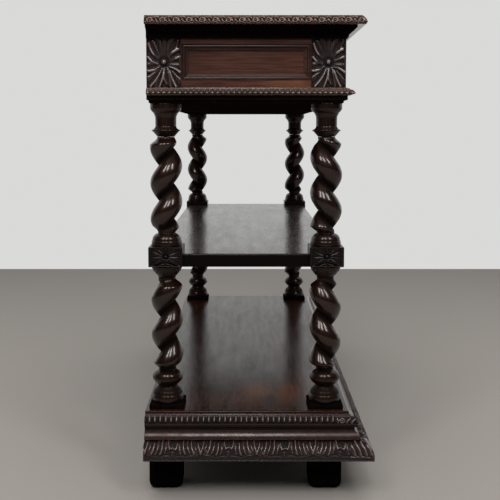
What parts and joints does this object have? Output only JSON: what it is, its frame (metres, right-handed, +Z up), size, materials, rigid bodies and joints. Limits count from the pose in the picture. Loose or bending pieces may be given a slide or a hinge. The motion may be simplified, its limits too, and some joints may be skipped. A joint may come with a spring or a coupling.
{
  "type": "sideboard",
  "caption": "Open three-tier sideboard in dark carved oak, with barley-twist posts, a middle shelf, a moulded base on block feet and drawers in the frieze.",
  "frame": {"origin": "on the floor under the centre of the whole, taken as the box round it", "axes": "+Z up, +X to the right along the front, the front with the drawers faces -Y"},
  "size_m": [1.475, 0.5206, 1.0845],
  "materials": {
    "dark_oak": "polished",
    "bare_oak": "plain"
  },
  "bodies": {
    "case": {"top_board": "dark_oak", "cornice": "dark_oak", "corner_block_back_left": "dark_oak", "corner_block_front_left": "dark_oak", "corner_block_back_right": "dark_oak", "corner_block_front_right": "dark_oak", "end_rails_left": "dark_oak", "end_rails_right": "dark_oak", "end_panel_left": "dark_oak", "end_panel_right": "dark_oak", "end_panel_moulding_left": "dark_oak", "end_panel_moulding_right": "dark_oak", "drawer_rail_bottom": "dark_oak", "drawer_rail_top": "dark_oak", "drawer_divider": "dark_oak", "back_board": "bare_oak", "carcass_bottom": "dark_oak", "bead_moulding": "dark_oak", "drawer_runners": "bare_oak", "upper_column_back_left": "dark_oak", "upper_column_front_left": "dark_oak", "upper_column_back_right": "dark_oak", "upper_column_front_right": "dark_oak", "lower_column_back_left": "dark_oak", "lower_column_front_left": "dark_oak", "lower_column_back_right": "dark_oak", "lower_column_front_right": "dark_oak", "middle_block_back_left": "dark_oak", "middle_block_front_left": "dark_oak", "middle_block_back_right": "dark_oak", "middle_block_front_right": "dark_oak", "middle_shelf": "dark_oak", "shelf_dowels": "bare_oak", "plinth_block_back_left": "dark_oak", "plinth_block_front_left": "dark_oak", "plinth_block_back_right": "dark_oak", "plinth_block_front_right": "dark_oak", "foot_back_left": "dark_oak", "foot_front_left": "dark_oak", "foot_back_right": "dark_oak", "foot_front_right": "dark_oak", "base_platform": "dark_oak", "base_rails": "dark_oak", "tongue_moulding": "dark_oak", "ogee_moulding": "dark_oak", "leaf_moulding_front": "dark_oak", "leaf_moulding_left": "dark_oak", "leaf_moulding_right": "dark_oak"},
    "drawer_left": {"drawer_front_left": "dark_oak", "drawer_sides_left": "bare_oak", "drawer_back_left": "bare_oak", "drawer_bottom_left": "bare_oak", "drawer_moulding_left": "dark_oak", "drawer_rosette_left": "dark_oak"},
    "drawer_right": {"drawer_front_right": "dark_oak", "drawer_sides_right": "bare_oak", "drawer_back_right": "bare_oak", "drawer_bottom_right": "bare_oak", "drawer_moulding_right": "dark_oak", "drawer_rosette_right": "dark_oak"}
  },
  "joints": [
    {"name": "drawer_left_slide", "type": "slide", "parent": "case", "child": "drawer_left", "axis": [0, -1, 0], "range_m": [0, 0.28]},
    {"name": "drawer_right_slide", "type": "slide", "parent": "case", "child": "drawer_right", "axis": [0, -1, 0], "range_m": [0, 0.28]}
  ]
}
